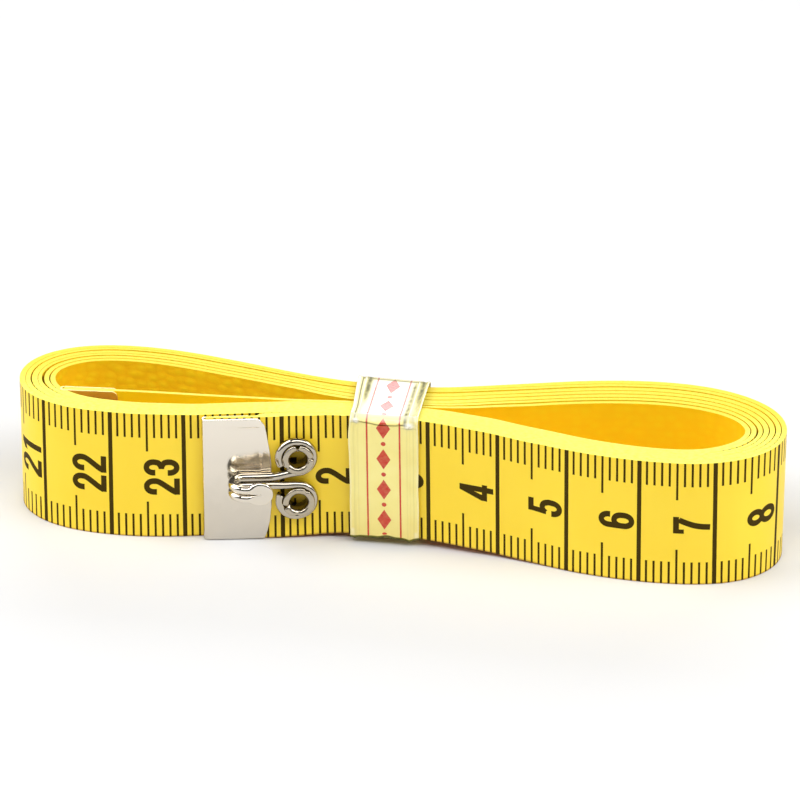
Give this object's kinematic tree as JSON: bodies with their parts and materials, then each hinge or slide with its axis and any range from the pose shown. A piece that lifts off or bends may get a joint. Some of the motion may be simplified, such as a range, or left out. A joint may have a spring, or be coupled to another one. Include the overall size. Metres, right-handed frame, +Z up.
{
  "type": "cloth tape measure",
  "caption": "Soft printed tape measure wound flat in a two-lobed coil, held by a film band, with metal end tips and a riveted wire dress hook on the zero end.",
  "frame": {"origin": "centre of the bounding box, on the table plane", "axes": "+X along the coil from the zero-end lobe to the other lobe, +Z up across the strip's width, -Y the printed face that carries the hook"},
  "size_m": [0.1036, 0.0232, 0.0194],
  "materials": {
    "tape": "coated fabric, lemon yellow printed face, plain orange-yellow reverse",
    "nickel": "polished nickel plate",
    "film": "glossy pale yellow film"
  },
  "bodies": {
    "roll": {"tape_roll": "tape"},
    "free_end": {"tape_free_end": "tape", "start_tip": "nickel", "dress_hook": "nickel", "eyelet_upper": "nickel", "eyelet_lower": "nickel"},
    "inner_end": {"tape_inner_end": "tape", "end_tip": "nickel"},
    "band": {"band": "film"}
  },
  "joints": [
    {"name": "free_end_peel", "type": "hinge", "parent": "roll", "child": "free_end", "pos_m": [-0.00738, -0.00375, 0], "axis": [0, 0, 1], "range_deg": [0, 75], "stiffness_Nm_per_rad": 0.0015},
    {"name": "inner_end_swing", "type": "hinge", "parent": "roll", "child": "inner_end", "pos_m": [-0.01993, -0.00144, 0], "axis": [0, 0, 1], "range_deg": [-12, 0], "stiffness_Nm_per_rad": 0.0015},
    {"name": "band_slide", "type": "slide", "parent": "roll", "child": "band", "axis": [1, 0, 0], "range_m": [-0.0008, 0.0008]}
  ]
}
